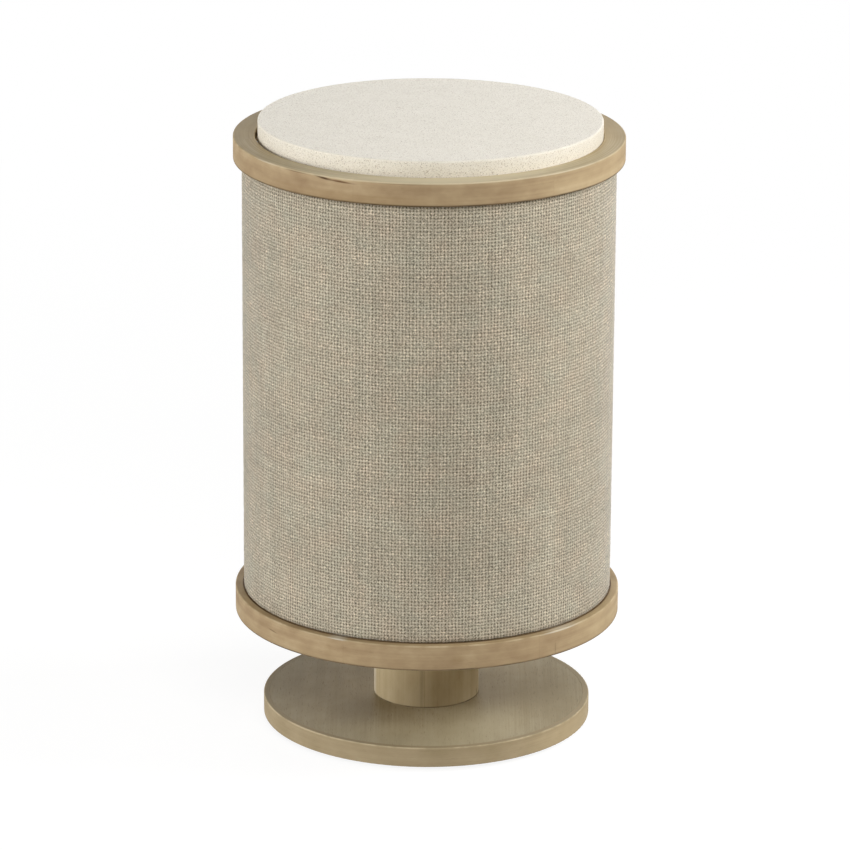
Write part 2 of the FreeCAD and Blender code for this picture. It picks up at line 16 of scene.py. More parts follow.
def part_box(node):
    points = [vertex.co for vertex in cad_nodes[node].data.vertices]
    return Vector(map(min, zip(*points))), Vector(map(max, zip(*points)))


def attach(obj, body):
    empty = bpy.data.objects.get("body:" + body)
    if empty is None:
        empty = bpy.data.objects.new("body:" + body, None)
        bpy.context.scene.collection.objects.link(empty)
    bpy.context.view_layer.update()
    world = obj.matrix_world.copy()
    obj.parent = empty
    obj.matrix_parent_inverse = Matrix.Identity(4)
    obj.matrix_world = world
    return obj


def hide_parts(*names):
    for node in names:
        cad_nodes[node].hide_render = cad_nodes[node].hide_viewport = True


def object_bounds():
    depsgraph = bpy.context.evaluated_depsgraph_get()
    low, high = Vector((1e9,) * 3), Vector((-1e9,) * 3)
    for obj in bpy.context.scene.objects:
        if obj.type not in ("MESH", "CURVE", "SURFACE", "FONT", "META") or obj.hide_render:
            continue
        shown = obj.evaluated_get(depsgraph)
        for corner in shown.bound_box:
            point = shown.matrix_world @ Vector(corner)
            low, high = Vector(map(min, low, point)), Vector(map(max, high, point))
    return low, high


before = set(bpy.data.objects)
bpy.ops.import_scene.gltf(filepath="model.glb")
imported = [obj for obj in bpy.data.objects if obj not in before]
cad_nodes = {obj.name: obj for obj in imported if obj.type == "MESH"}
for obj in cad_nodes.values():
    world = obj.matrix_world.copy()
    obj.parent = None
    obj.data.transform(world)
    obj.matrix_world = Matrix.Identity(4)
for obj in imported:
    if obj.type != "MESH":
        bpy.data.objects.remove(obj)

MM = 0.001
scene = bpy.context.scene
cad_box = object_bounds()

# %% [markdown]
# ## Camera
# A product picture is taken with a long lens from a few metres away, so that upright sides stay nearly
# parallel. The camera stands five metres in front of the table and looks down on it a little. It could
# be aimed with a constraint, but a fixed matrix keeps the small roll of the real camera. Its place, tilt
# and lens were worked out from the rims of the stone, the rings, the column and the plinth.

# %% Camera
CAMERA_PLACE = (-0.0029, -4.8829, 1.8560)
LOOK_DOWN = math.radians(17.482)
ROLL = math.radians(0.318)
LENS = 209.22
SENSOR = 36.0
camera = bpy.data.objects.new("camera", bpy.data.cameras.new("camera"))
camera.data.sensor_width = SENSOR
camera.data.lens = LENS
camera.matrix_world = (
    Matrix.Translation(CAMERA_PLACE)
    @ Matrix.Rotation(math.pi / 2 - LOOK_DOWN, 4, "X")
    @ Matrix.Rotation(ROLL, 4, "Z")
)
scene.collection.objects.link(camera)
scene.camera = camera
scene.view_settings.view_transform = "Standard"
print("camera at", [round(c, 3) for c in camera.matrix_world.translation])

# %% [markdown]
# ## Helpers for finishes
# Colours are written as they would be picked on a screen, in sRGB, and a shader needs them linear.
# Every finish below is a small tree of nodes. It could be drawn by hand in the shader editor, but
# written down it can be read from top to bottom: one function adds any node, sets it and links it.
# A Mix node has sockets for each kind of data: 2 and 3 are numbers, 4 and 5 vectors, 6 and 7 colours.
# Its outputs 0, 1 and 2 give them in that order. Output 1 of a vector's LENGTH is the number.

# %% Colour and nodes
def shade(code):
    """Linear colour of an sRGB hex code: a straight line near black, above it a power of 2.4."""
    parts = np.array([int(code[k : k + 2], 16) for k in (1, 3, 5)]) / 255
    linear = np.where(parts <= 0.04045, parts / 12.92, ((parts + 0.055) / 1.055) ** 2.4)
    return (*linear.tolist(), 1.0)


def wire(tree, target, inputs):
    """Sets sockets by name or number: to a value, or by a link from a node or a (node, output)."""
    for socket, value in inputs.items():
        if isinstance(value, bpy.types.Node):
            value = (value, 0)
        if isinstance(value, tuple) and isinstance(value[0], bpy.types.Node):
            tree.links.new(value[0].outputs[value[1]], target.inputs[socket])
        else:
            target.inputs[socket].default_value = value


def add(tree, kind, inputs=None, stops=(), **settings):
    """Adds one node: settings are its properties, inputs its sockets, stops the steps of a ramp."""
    made = tree.nodes.new("ShaderNode" + kind)
    for name, value in settings.items():
        setattr(made, name, value)
    wire(tree, made, inputs or {})
    for k, (place, tone) in enumerate(stops):
        steps = made.color_ramp.elements
        step = steps[k] if k < len(steps) else steps.new(1.0)
        step.position = place
        step.color = tone
    return made


def new_finish(name):
    """A new material with its node tree and its shader."""
    material = bpy.data.materials.new(name)
    material.use_nodes = True
    return material, material.node_tree, material.node_tree.nodes["Principled BSDF"]


def paint(material, *names):
    """Gives carried-over nodes a finish in place of the plain one that they came with."""
    for name in names:
        mesh = cad_nodes[name].data
        mesh.materials.clear()
        mesh.materials.append(material)


print("white is", [round(c, 3) for c in shade("#ffffff")])

# %% [markdown]
# ## Floor and room
# The table stands in a white studio. A sheet of paper could be bent up behind it, but a wide flat disc
# and a white world look the same from every side. The floor keeps the table's shadow. To the camera and
# in gloss it also glows, so that it reads as white paper, and a few steps from the table it turns plain
# white, so that no far edge shows. It lights the table only with what it reflects.

# %% Floor disc
FLOOR_RADIUS = 9.0
RIM_POINTS = 96


def fill_mesh(name, points, faces):
    """A mesh object from an array of points and a list of face arrays, each with equal corners. A face
    starts at the sum of the corners before it."""
    mesh = bpy.data.meshes.new(name)
    sizes = np.concatenate([np.full(len(f), f.shape[1]) for f in faces])
    corners = np.concatenate([f.ravel() for f in faces])
    mesh.vertices.add(len(points))
    mesh.vertices.foreach_set("co", np.asarray(points, np.float32).ravel())
    mesh.loops.add(len(corners))
    mesh.loops.foreach_set("vertex_index", corners.astype(np.int32))
    mesh.polygons.add(len(sizes))
    mesh.polygons.foreach_set("loop_start", (np.cumsum(sizes) - sizes).astype(np.int32))
    mesh.polygons.foreach_set("use_smooth", np.ones(len(sizes), bool))
    mesh.update(calc_edges=True)
    made = bpy.data.objects.new(name, mesh)
    scene.collection.objects.link(made)
    return made


rim = np.linspace(0, 2 * math.pi, RIM_POINTS, endpoint=False)
disc = np.stack([np.cos(rim), np.sin(rim), 0 * rim], 1) * FLOOR_RADIUS
floor = fill_mesh("floor", disc, [np.arange(RIM_POINTS)[None]])
print("floor radius", FLOOR_RADIUS, "m")

# %% Paper and room
SHADOW_REACH = 2.4
NEAR_GLOW = 0.89
AMBIENT = 0.17


def seen_directly(tree):
    """1 for rays from the camera, from gloss and through glass, 0 for rays that only carry light: the
    largest of the three flags."""
    path = add(tree, "LightPath")
    flag = add(tree, "Math", {0: (path, "Is Camera Ray"), 1: (path, "Is Glossy Ray")},
               operation="MAXIMUM")
    return add(tree, "Math", {0: flag, 1: (path, "Is Transmission Ray")}, operation="MAXIMUM")


# Uncoated white paper: matt, so that nothing shows on it but the soft shadow of the table.
paper, tree, shader = new_finish("white_paper_floor")
direct = seen_directly(tree)
spot = (add(tree, "TexCoord"), "Object")
away = (add(tree, "VectorMath", {0: spot}, operation="LENGTH"), 1)
away = add(tree, "MapRange", {"Value": away, "From Min": SHADOW_REACH / 3, "From Max": SHADOW_REACH},
           interpolation_type="SMOOTHSTEP")
shown = (add(tree, "Mix", {0: away, 6: shade("#757575"), 7: shade("#000000")}, data_type="RGBA"), 2)
tone = (add(tree, "Mix", {0: direct, 6: shade("#e8e8e6"), 7: shown}, data_type="RGBA"), 2)
glow = add(tree, "MapRange", {"Value": away, "To Min": NEAR_GLOW, "To Max": 1.0})
glow = add(tree, "Math", {0: direct, 1: glow}, operation="MULTIPLY")
wire(tree, shader, {"Base Color": tone, "Roughness": 0.9, "Specular IOR Level": 0.0,
                    "Emission Color": (1, 1, 1, 1), "Emission Strength": glow})
floor.data.materials.append(paper)

room = bpy.data.worlds.new("white_room")
room.use_nodes = True
scene.world = room
tree = room.node_tree
tree.nodes.clear()
soft = add(tree, "Background", {"Color": shade("#fffdf9"), "Strength": AMBIENT})
white = add(tree, "Background", {"Color": (1, 1, 1, 1), "Strength": 1.0})
both = add(tree, "MixShader", {0: seen_directly(tree), 1: soft, 2: white})
add(tree, "OutputWorld", {"Surface": both})
print("shadow fades out at", SHADOW_REACH, "m, ambient", AMBIENT)

# %% [markdown]
# ## Lamps
# Four large soft lamps light the table, as in a photo studio. A sun would be quicker to set, but its
# shadows are hard, and each softbox has a job. The front one fills. One stands low at the left, so that
# its light reaches the column under the ring, and one higher at the right, so that the ring shades the
# column there. The last one is far behind. So the drum grows lighter towards both sides.

# %% Lamps
TABLE_MIDDLE = (0, 0, 0.3)
# Place and size in metres, then watts.
SOFTBOXES = {
    "front_softbox": ((0.5, -2.7, 2.1), (2.0, 1.0), 46),
    "left_softbox": ((-4.95, -0.5, 0.66), (2.9, 1.9), 186),
    "right_softbox": ((2.1, 0.05, 1.4), (1.2, 1.0), 35),
    "back_softbox": ((0.5, 6.8, 2.0), (3.6, 2.2), 130),
}
for name, (place, size, watts) in SOFTBOXES.items():
    lamp = bpy.data.objects.new(name, bpy.data.lights.new(name, "AREA"))
    lamp.data.shape = "RECTANGLE"
    lamp.data.size, lamp.data.size_y = size
    lamp.data.energy = watts
    lamp.location = place
    lamp.rotation_euler = (Vector(TABLE_MIDDLE) - Vector(place)).to_track_quat("-Z", "Y").to_euler()
    lamp.visible_camera = False
    scene.collection.objects.link(lamp)

# %% [markdown]
# ## The weave
# The drum is wrapped in one coarse, open plain weave of taupe yarn, about 3.4 mm from thread to thread,
# with slubs and threads of uneven tone. It is stretched round the drum, turned in over both ends and
# butted at the back. A flat sheet with a painted pattern would look smooth at the silhouette, and
# modelling 350 by 137 yarns as tubes would take millions of faces. Here one point stands on each
# crossing and one lies in each opening between four crossings. Valleys join the openings, so that each
# crossing is a small crown. That is enough for a true relief, whose openings close up towards the sides
# of the drum as they do on the real cloth.

# %% Cloth profile
WARPS, WEFTS = 350, 137
CLOTH, HEM, TURN_IN = 1.2 * MM, 6.1 * MM, 1.3 * MM
BEND_STEPS = 17
lo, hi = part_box("woven_wrap")
WRAP_RADIUS, WRAP_BASE, WRAP_FACE = hi.x, lo.z, hi.z


def cloth_path(inset, count):
    """The cloth's section at a depth of inset, as radius, height and outward normal at equal steps, and
    its length: out along the lower hem, round a quarter circle, up the drum, round another quarter
    circle and in along the upper hem."""
    turn = np.linspace(0, math.pi / 2, BEND_STEPS)
    r0, bend = WRAP_RADIUS - TURN_IN, TURN_IN - inset
    end = WRAP_RADIUS - HEM
    radius = np.concatenate([[end], r0 + bend * np.sin(turn), r0 + bend * np.cos(turn), [end]])
    low, high = WRAP_BASE + TURN_IN, WRAP_FACE - TURN_IN
    height = np.concatenate([[low - bend], low - bend * np.cos(turn),
                             high + bend * np.sin(turn), [high + bend]])
    lean = np.concatenate([[-math.pi / 2], turn - math.pi / 2, turn, [math.pi / 2]])
    run = np.concatenate([[0], np.cumsum(np.hypot(np.diff(radius), np.diff(height)))])
    step = np.linspace(0, run[-1], count)
    radius, height, lean = (np.interp(step, run, a) for a in (radius, height, lean))
    return radius, height, np.cos(lean), np.sin(lean), run[-1]


# %% Points by thread number
STEPS_A_THREAD = 16


def warp_angle(warp):
    """Angle of a warp thread: a quarter turn, which is the back, plus its share of the full circle."""
    return math.pi / 2 + 2 * math.pi * warp / WARPS


def cloth_points(weft, warp, sink):
    """Points of the cloth at (weft, warp) thread numbers, pushed in by sink along the normal."""
    count = STEPS_A_THREAD * WEFTS + 1
    section = cloth_path(0, count)[:4]
    r, z, n_r, n_z = (np.interp(weft, np.linspace(0, WEFTS, count), a) for a in section)
    r, z = r - sink * n_r, z - sink * n_z
    return np.stack([r * np.cos(warp_angle(warp)), r * np.sin(warp_angle(warp)), z], -1)


print("threads are found on", STEPS_A_THREAD * WEFTS + 1, "steps of the section")

# %% Cloth relief
# In threads: how far one sways and over what run, the length of a slub, and the straight rows of a hem.
SWAY, SWAY_RUN, SLUB_RUN, CALM_ROWS = 0.10, 9, 4, 3
SEAM_SINK = 0.8 * MM
chance = np.random.default_rng(71)


def drift(rows, columns, up, across):
    """Random values blurred by a bell curve of that many threads up and across, with spread 1."""
    wave_up = np.fft.fftfreq(rows)[:, None] * up
    wave_across = np.fft.fftfreq(columns)[None] * across
    blur = np.exp(-2 * (math.pi**2) * (wave_up**2 + wave_across**2))
    field = np.fft.ifft2(np.fft.fft2(chance.standard_normal((rows, columns))) * blur).real
    return field / field.std()


def uneven(field, mean, spread, least, most):
    """Depths in metres from millimetres: the mean plus spread times a drifting field, within limits."""
    return np.clip(mean + spread * field, least, most) * MM


weft, warp = np.meshgrid(np.arange(WEFTS + 1), np.arange(WARPS), indexing="ij")
warp_sway = SWAY * drift(WEFTS + 1, WARPS, SWAY_RUN, 0.5)
weft_sway = SWAY * drift(WEFTS + 1, WARPS, 0.5, SWAY_RUN)
inside = np.clip(np.minimum(weft, WEFTS - weft) / CALM_ROWS, 0, 1)
warp_slub = drift(WEFTS + 1, WARPS, SLUB_RUN, 0.4)
weft_slub = drift(WEFTS + 1, WARPS, 0.4, SLUB_RUN)
slub = np.where((weft + warp) % 2 == 0, warp_slub, weft_slub)
sink = uneven(slub, mean=0.18, spread=-0.11, least=0.02, most=0.5)
sink[:, 0] = SEAM_SINK
crossings = cloth_points(weft + weft_sway * inside, warp + warp_sway * inside, sink)
depth = uneven(drift(WEFTS, WARPS, 0.5, 0.5), mean=0.82, spread=0.24, least=0.3, most=1.15)
openings = cloth_points(weft[:-1] + 0.5, warp[:-1] + 0.5, depth)
print("crossings", crossings.shape[:2], "openings", openings.shape[:2])

# %% Cloth lining and corners
LINING_ROWS = 9
inner_r, inner_z = (a[::-1, None] for a in cloth_path(CLOTH, LINING_ROWS)[:2])
angle = warp_angle(np.arange(WARPS))
lining = np.stack(np.broadcast_arrays(inner_r * np.cos(angle), inner_r * np.sin(angle), inner_z), -1)
points = np.concatenate([part.reshape(-1, 3) for part in (crossings, openings, lining)])
ends = np.cumsum([(WEFTS + 1) * WARPS, WEFTS * WARPS])
front, pits, back = (part.reshape(-1, WARPS) for part in np.split(np.arange(len(points)), ends))


def with_place(numbers, first):
    """A grid of point numbers, each beside its place in threads: number, warp and weft."""
    weft, warp = np.indices(numbers.shape) + first
    return np.stack([numbers, warp, weft], -1).astype(float)


crown, pit = with_place(front, 0), with_place(pits, 0.5)
crown_after = np.concatenate([crown[:, 1:], crown[:, :1] + (0, WARPS, 0)], 1)
pit_before = np.concatenate([pit[:, -1:] - (0, WARPS, 0), pit[:, :-1]], 1)
print("cloth points", len(points), "of which lining", back.size)

# %% Cloth mesh
corners = [
    (crown[:-1], pit, pit_before),
    (crown[1:], pit_before, pit),
    (crown[1:-1], pit[:-1], pit[1:]),
    (crown_after[1:-1], pit[1:], pit[:-1]),
    (crown[:1], crown_after[:1], pit[:1]),
    (crown_after[-1:], crown[-1:], pit[-1:]),
]
cells = np.concatenate([np.stack(triangle, 2).reshape(-1, 3, 3) for triangle in corners])
rows = np.concatenate([front[-1:], back, front[:1]])
wall = np.stack([rows[:-1], np.roll(rows[:-1], -1, 1), np.roll(rows[1:], -1, 1), rows[1:]], -1)
cloth = fill_mesh("woven_cloth", points, [cells[..., 0].astype(int), wall.reshape(-1, 4)])
threads = np.concatenate([cells[..., 1:].reshape(-1, 2) / (WARPS, WEFTS), np.zeros((wall.size, 2))])
cloth.data.uv_layers.new(name="threads").data.foreach_set("uv", threads.astype(np.float32).ravel())
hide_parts("woven_wrap")
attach(cloth, "table")
print("cloth faces", len(cloth.data.polygons))

# %% [markdown]
# ## Yarn
# The yarn is a matt taupe blend, spun unevenly: each thread has its own tone and changes it slowly
# along its length. At a crossing the upper thread shows, warp and weft in turn. Its crown is painted
# paler, as a painted sheen where loose fibres stand out and catch the light, and its edges are painted
# darker, as painted shade between the crossings. The openings are painted dark, as the shade of the drum
# between the yarns. A scanned swatch would repeat round the drum, so the pattern is worked out on the
# cloth's own map, whose units are threads.

# %% Threads
# These keep the noise of wefts and warps apart, and of each thread and the next.
WEFT_NUMBERS, WEFT_LAYER, LANE = 700.0, 40.0, 7.31
# A thread's tone changes over five threads, and counts for more than its own even tone.
SLOW, SLOW_SHARE = 1 / 5, 0.7
# Spun yarn in a plain weave: no gloss, a faint sheen of loose fibres, uneven tones and dark openings.
yarn, tree, shader = new_finish("plain_woven_taupe_yarn")
grid = add(tree, "UVMap", uv_map="threads")
grid = add(tree, "Mapping", {"Vector": grid, "Scale": (WARPS, WEFTS, 1)})
split = add(tree, "SeparateXYZ", {0: grid})
along = [(split, axis) for axis in "XY"]
number = [add(tree, "Math", {0: a, 1: 0.5}, operation="ADD") for a in along]
number = [add(tree, "Math", {0: n}, operation="FLOOR") for n in number]
aside = [add(tree, "Math", {0: a, 1: n}, operation="SUBTRACT") for a, n in zip(along, number)]
aside = [add(tree, "Math", {0: a}, operation="ABSOLUTE") for a in aside]
tones = []
for k in (0, 1):
    thread = add(tree, "Math", {0: number[k], 1: WEFT_NUMBERS * k}, operation="ADD")
    own_tone = add(tree, "TexWhiteNoise", {"W": thread}, noise_dimensions="1D")
    lane = add(tree, "Math", {0: number[k], 1: LANE}, operation="MULTIPLY")
    way = add(tree, "Math", {0: along[1 - k], 1: SLOW}, operation="MULTIPLY")
    place = add(tree, "CombineXYZ", {0: lane, 1: way, 2: WEFT_LAYER * k})
    slow = add(tree, "TexNoise", {"Vector": place, "Scale": 1.0, "Detail": 3.0, "Roughness": 0.65})
    tones.append(add(tree, "Mix", {0: SLOW_SHARE, 2: own_tone, 3: slow}))
total = add(tree, "Math", {0: number[0], 1: number[1]}, operation="ADD")
weft_up = add(tree, "Math", {0: total, 1: 2.0}, operation="FLOORED_MODULO")
thread_tone = add(tree, "Mix", {0: weft_up, 2: tones[0], 3: tones[1]})
print("threads:", len(tree.nodes), "nodes")

# %% Openings and seam
GAP_TALLER = 0.25
taller = add(tree, "Math", {0: aside[1], 1: GAP_TALLER}, operation="ADD")
gap = add(tree, "Math", {0: aside[0], 1: taller}, operation="MULTIPLY")
cell = add(tree, "VectorMath", {0: grid}, operation="FLOOR")
own_gap = add(tree, "TexWhiteNoise", {"Vector": cell}, noise_dimensions="2D")
deepest = add(tree, "MapRange", {"Value": own_gap, "To Min": 0.6, "To Max": 1.0})
gap = add(tree, "MapRange", {"Value": gap, "From Min": 0.13, "From Max": 0.27, "To Max": deepest})
seam = add(tree, "Math", {0: along[0], 1: WARPS / 2}, operation="PINGPONG")
seam = add(tree, "MapRange", {"Value": seam, "From Min": 0.45, "From Max": 0.15, "To Max": 0.7})
gap = add(tree, "Math", {0: gap, 1: seam}, operation="MAXIMUM")
print("weave pattern:", len(tree.nodes), "nodes")

# %% Cloth finish
# Sizes of the fibres in threads. Real fibres are too fine to show, so these are drawn as tufts.
FIBRE_ALONG, FIBRE_ACROSS = 0.5, 0.34
CROWN_WIDER = 0.7
CLOUD = 55 * MM
colour = (add(tree, "ValToRGB", {0: thread_tone},
              stops=[(0.2, shade("#aaa293")), (0.8, shade("#c4bbab"))]), 0)
colour = (add(tree, "Mix", {0: gap, 6: colour, 7: shade("#5d523f")}, data_type="RGBA"), 2)
tint = add(tree, "TexNoise", {"Vector": grid, "Scale": 0.12, "Detail": 3.0})
tint = (add(tree, "ValToRGB", {0: tint}, stops=[(0.3, shade("#fff9f1")), (0.7, shade("#f8faf4"))]), 0)
upright = add(tree, "Mapping", {"Vector": grid, "Scale": (FIBRE_ACROSS, FIBRE_ALONG, 1)},
              vector_type="TEXTURE")
level = add(tree, "Mapping", {"Vector": grid, "Scale": (FIBRE_ALONG, FIBRE_ACROSS, 1)},
            vector_type="TEXTURE")
lie = (add(tree, "Mix", {0: weft_up, 4: upright, 5: level}, data_type="VECTOR"), 1)
fibre = add(tree, "TexNoise", {"Vector": lie, "Scale": 1.0, "Detail": 1.0})
fibre = add(tree, "MapRange", {"Value": fibre, "From Min": 0.3, "From Max": 0.7,
                               "To Min": 0.5, "To Max": 1.5})
spot = (add(tree, "TexCoord"), "Object")
cloud = add(tree, "TexNoise", {"Vector": spot, "Scale": 1 / CLOUD, "Detail": 3.0})
cloud = add(tree, "MapRange", {"Value": cloud, "From Min": 0.3, "From Max": 0.7,
                               "To Min": 0.94, "To Max": 1.06})
# Painted sheen and shade: each crossing's crown is painted paler where loose fibres catch the light, and
# darker towards its edges, by a share that differs from crossing to crossing.
crossing = add(tree, "CombineXYZ", {0: number[0], 1: number[1]})
own_crown_sheen = add(tree, "TexWhiteNoise", {"Vector": crossing}, noise_dimensions="2D")
own_crown_sheen = add(tree, "MapRange", {"Value": own_crown_sheen, "To Min": 0.3, "To Max": 1.0})
across = add(tree, "Math", {0: aside[0], 1: CROWN_WIDER}, operation="MULTIPLY")
off_crown = add(tree, "Math", {0: across, 1: aside[1]}, operation="MAXIMUM")
crown_sheen_and_shade = add(tree, "MapRange", {"Value": off_crown, "From Min": 0.46, "From Max": 0.12, "To Max": own_crown_sheen})
crown_sheen_and_shade = add(tree, "MapRange", {"Value": crown_sheen_and_shade, "To Min": 0.88, "To Max": 1.22})
for layer in (tint, fibre, cloud, crown_sheen_and_shade):
    colour = (add(tree, "Mix", {0: 1.0, 6: colour, 7: layer},
                  data_type="RGBA", blend_type="MULTIPLY"), 2)
wire(tree, shader, {"Base Color": colour, "Roughness": 0.88, "Specular IOR Level": 0.25,
                    "Sheen Weight": 0.35, "Sheen Roughness": 0.4})
cloth.data.materials.append(yarn)
print("cloth finish:", len(tree.nodes), "nodes")

# %% [markdown]
# ## Grey-washed ash
# Rings, column and plinth are solid ash or ash veneer, sanded, rubbed with a grey-brown wash and
# lacquered matt. The wash evens out the tone after the boards are glued, so what shows is soft blotches,
# faint streaks, fine pores, thin joints and a few dark marks, and the arrises are rubbed paler, with a
# painted highlight. Some pale and dark stretches are painted light and shade: pale stretches on the right,
# a painted reflection on the front of the upper ring, shade on the lower ring's flat, dark shade lines at
# the feet of the rings and the column, and light and shadow on the plinth's face. On the rings the streaks
# follow the curve; on the column they stand upright. A picture of wood would stretch and repeat, so the
# grain is worked out in metres along, across and up each board.

# %% Where a point lies on its board
APART = 3.7


def straight_board(tree):
    """Metres along, across and up one flat board whose grain runs from front to back."""
    spot = (add(tree, "TexCoord"), "Object")
    part = add(tree, "SeparateXYZ", {0: spot})
    board = add(tree, "CombineXYZ", {0: (part, "Y"), 1: (part, "X"), 2: (part, "Z")})
    return {"board": board, "whole": board, "place": spot}


def from_axis(tree, part):
    """Distance from the upright axis: the root of x squared plus y squared."""
    flat = add(tree, "CombineXYZ", {0: (part, "X"), 1: (part, "Y")})
    return (add(tree, "VectorMath", {0: flat}, operation="LENGTH"), 1)


def boards_round(tree, boards, first_joint, radius, upright=False):
    """Boards set round the table's axis. The angle from the first joint, divided by a board's share of
    the circle, gives the board's number and the arc from its middle. Along, across and up a board are
    that arc, the distance from the axis and the height, or for upright staves the height, the distance
    and the arc; boards are moved apart, so that each has its own grain. Place is the arc from the
    front, the distance and the height. Whole carries the tone of the wash, which runs on over the joints
    of a ring, and joint is the arc to the nearest joint."""
    share = 2 * math.pi / boards
    part = add(tree, "SeparateXYZ", {0: (add(tree, "TexCoord"), "Object")})
    angle = add(tree, "Math", {0: (part, "Y"), 1: (part, "X")}, operation="ARCTAN2")
    turns = add(tree, "Math", {0: angle, 1: 1 / share, 2: -first_joint / share},
                operation="MULTIPLY_ADD")
    count = add(tree, "Math", {0: turns}, operation="FLOOR")
    count = add(tree, "Math", {0: count, 1: float(boards)}, operation="FLOORED_MODULO")
    local = add(tree, "Math", {0: turns}, operation="FRACT")
    local = add(tree, "Math", {0: local, 1: 0.5}, operation="SUBTRACT")
    arc = add(tree, "Math", {0: local, 1: share * radius}, operation="MULTIPLY")
    edge = add(tree, "Math", {0: arc}, operation="ABSOLUTE")
    joint = add(tree, "Math", {0: share * radius / 2, 1: edge}, operation="SUBTRACT")
    out = from_axis(tree, part)
    forward = add(tree, "Math", {0: (part, "Y"), 1: -1.0}, operation="MULTIPLY")
    front = add(tree, "Math", {0: (part, "X"), 1: forward}, operation="ARCTAN2")
    front = add(tree, "Math", {0: front, 1: radius}, operation="MULTIPLY")
    along, up = ((part, "Z"), arc) if upright else (arc, (part, "Z"))
    along = add(tree, "Math", {0: count, 1: APART, 2: along}, operation="MULTIPLY_ADD")
    board = add(tree, "CombineXYZ", {0: along, 1: out, 2: up})
    place = add(tree, "CombineXYZ", {0: front, 1: out, 2: (part, "Z")})
    return {"board": board, "whole": board if upright else place, "joint": joint, "place": place}


def off_rim(tree, radius, height, middle=0.0):
    """Distance from a level circle about the axis at x = middle: the root of the squared differences in
    distance from the axis and in height."""
    spot = (add(tree, "TexCoord"), "Object")
    moved = add(tree, "VectorMath", {0: spot, 1: (middle, 0, height)}, operation="SUBTRACT")
    part = add(tree, "SeparateXYZ", {0: moved})
    beyond = add(tree, "Math", {0: from_axis(tree, part), 1: radius}, operation="SUBTRACT")
    off = add(tree, "CombineXYZ", {0: beyond, 1: (part, "Z")})
    return (add(tree, "VectorMath", {0: off}, operation="LENGTH"), 1)


print("boards lie straight, round or upright, set apart by", APART, "m of grain")

# %% Washed wood
# Sizes along and across the grain. Real pores are about a fifth of a millimetre wide, too fine to show,
# so they are drawn coarser.
STREAK, BAND, BLOTCH, PORE = (0.22, 1.8 * MM), (0.5, 11 * MM), (28 * MM, 18 * MM), (9 * MM, 0.9 * MM)
PORE_DEPTH = 0.15 * MM
GLUE_LINE = 0.35 * MM
BLOTCH_SHARE = 0.42
SEED_STEP = Vector((0.37, 0.53, 0.71))


def washed_wood(name, grain, seed, tones, streaks=0.35, pores=0.15, seam=0.15, marks=(), rims=()):
    """The tone is a blend of streaks, broad bands and blotches as wide as a thumb, all noise that is
    stretched along the grain. Over it lie pores, glue lines, marks and rims. Marks are soft, ragged
    ellipses: middle, half sizes, lean, strength and tone; some of them are painted light and shade. Rims
    are circles along which the wash is rubbed paler under a painted highlight, or along which a dark
    painted shade line lies: radius, height, width, least and most strength, and tone."""
    # Washed ash under matt lacquer: a soft, dull face, a little rougher where the streaks are pale.
    material, tree, shader = new_finish(name)
    lie = grain(tree)

    def field(space, size, detail):
        """Noise on the board, stretched to a size along and across the grain, its place set by the seed."""
        along, across = size
        place = add(tree, "Mapping", {"Vector": lie[space], "Location": SEED_STEP * seed,
                                      "Scale": (along, across, across)}, vector_type="TEXTURE")
        return add(tree, "TexNoise", {"Vector": place, "Scale": 1.0, "Detail": detail, "Roughness": 0.55})

    streak = field("board", STREAK, 4.0)
    band = field("whole", BAND, 2.0)
    blotch = field("whole", BLOTCH, 3.0)
    value = add(tree, "Mix", {0: streaks, 2: band, 3: streak})
    value = add(tree, "Mix", {0: BLOTCH_SHARE, 2: value, 3: blotch})
    colour = (add(tree, "ValToRGB", {0: value}, stops=[
        (0.35, shade(tones[0])), (0.5, shade(tones[1])), (0.65, shade(tones[2]))]), 0)
    pore = add(tree, "MapRange", {"Value": field("board", PORE, 2.0), "From Min": 0.6, "From Max": 0.74,
                                  "To Max": pores})
    layers = [(pore, "#5b4a33")]
    if "joint" in lie:
        line = add(tree, "MapRange", {"Value": lie["joint"], "From Min": GLUE_LINE, "From Max": 0.0,
                                      "To Max": seam})
        layers.append((line, "#4f3a27"))
    ragged = add(tree, "VectorMath", {0: (streak, 1), 1: (0.5, 0.5, 0.5)}, operation="SUBTRACT")
    for middle, half, lean, strength, tone in marks:
        place = add(tree, "Mapping", {"Vector": lie["place"], "Location": middle, "Rotation": lean,
                                      "Scale": half}, vector_type="TEXTURE")
        place = add(tree, "VectorMath", {0: place, 1: ragged}, operation="ADD")
        away = (add(tree, "VectorMath", {0: place}, operation="LENGTH"), 1)
        mark = add(tree, "MapRange", {"Value": away, "From Min": 1.2, "From Max": 0.2, "To Max": strength},
                   interpolation_type="SMOOTHSTEP")
        layers.append((mark, tone))
    for radius, height, width, least, most, tone in rims:
        broken = add(tree, "MapRange", {"Value": blotch, "From Min": 0.42, "From Max": 0.6,
                                        "To Min": least, "To Max": most})
        near = add(tree, "MapRange", {"Value": off_rim(tree, radius, height), "From Min": width,
                                      "From Max": width / 3, "To Max": broken})
        layers.append((near, tone))
    for strength, tone in layers:
        colour = (add(tree, "Mix", {0: strength, 6: colour, 7: shade(tone)}, data_type="RGBA"), 2)
    rough = add(tree, "MapRange", {"Value": streak, "To Min": 0.48, "To Max": 0.66})
    bump = add(tree, "Bump", {"Height": pore, "Strength": 0.25, "Distance": PORE_DEPTH}, invert=True)
    wire(tree, shader, {"Base Color": colour, "Roughness": rough, "Normal": bump, "IOR": 1.45,
                        "Specular IOR Level": 0.04})
    return material


print("streaks", STREAK[1] / MM, "mm wide, pores", PORE[1] / MM, "mm")

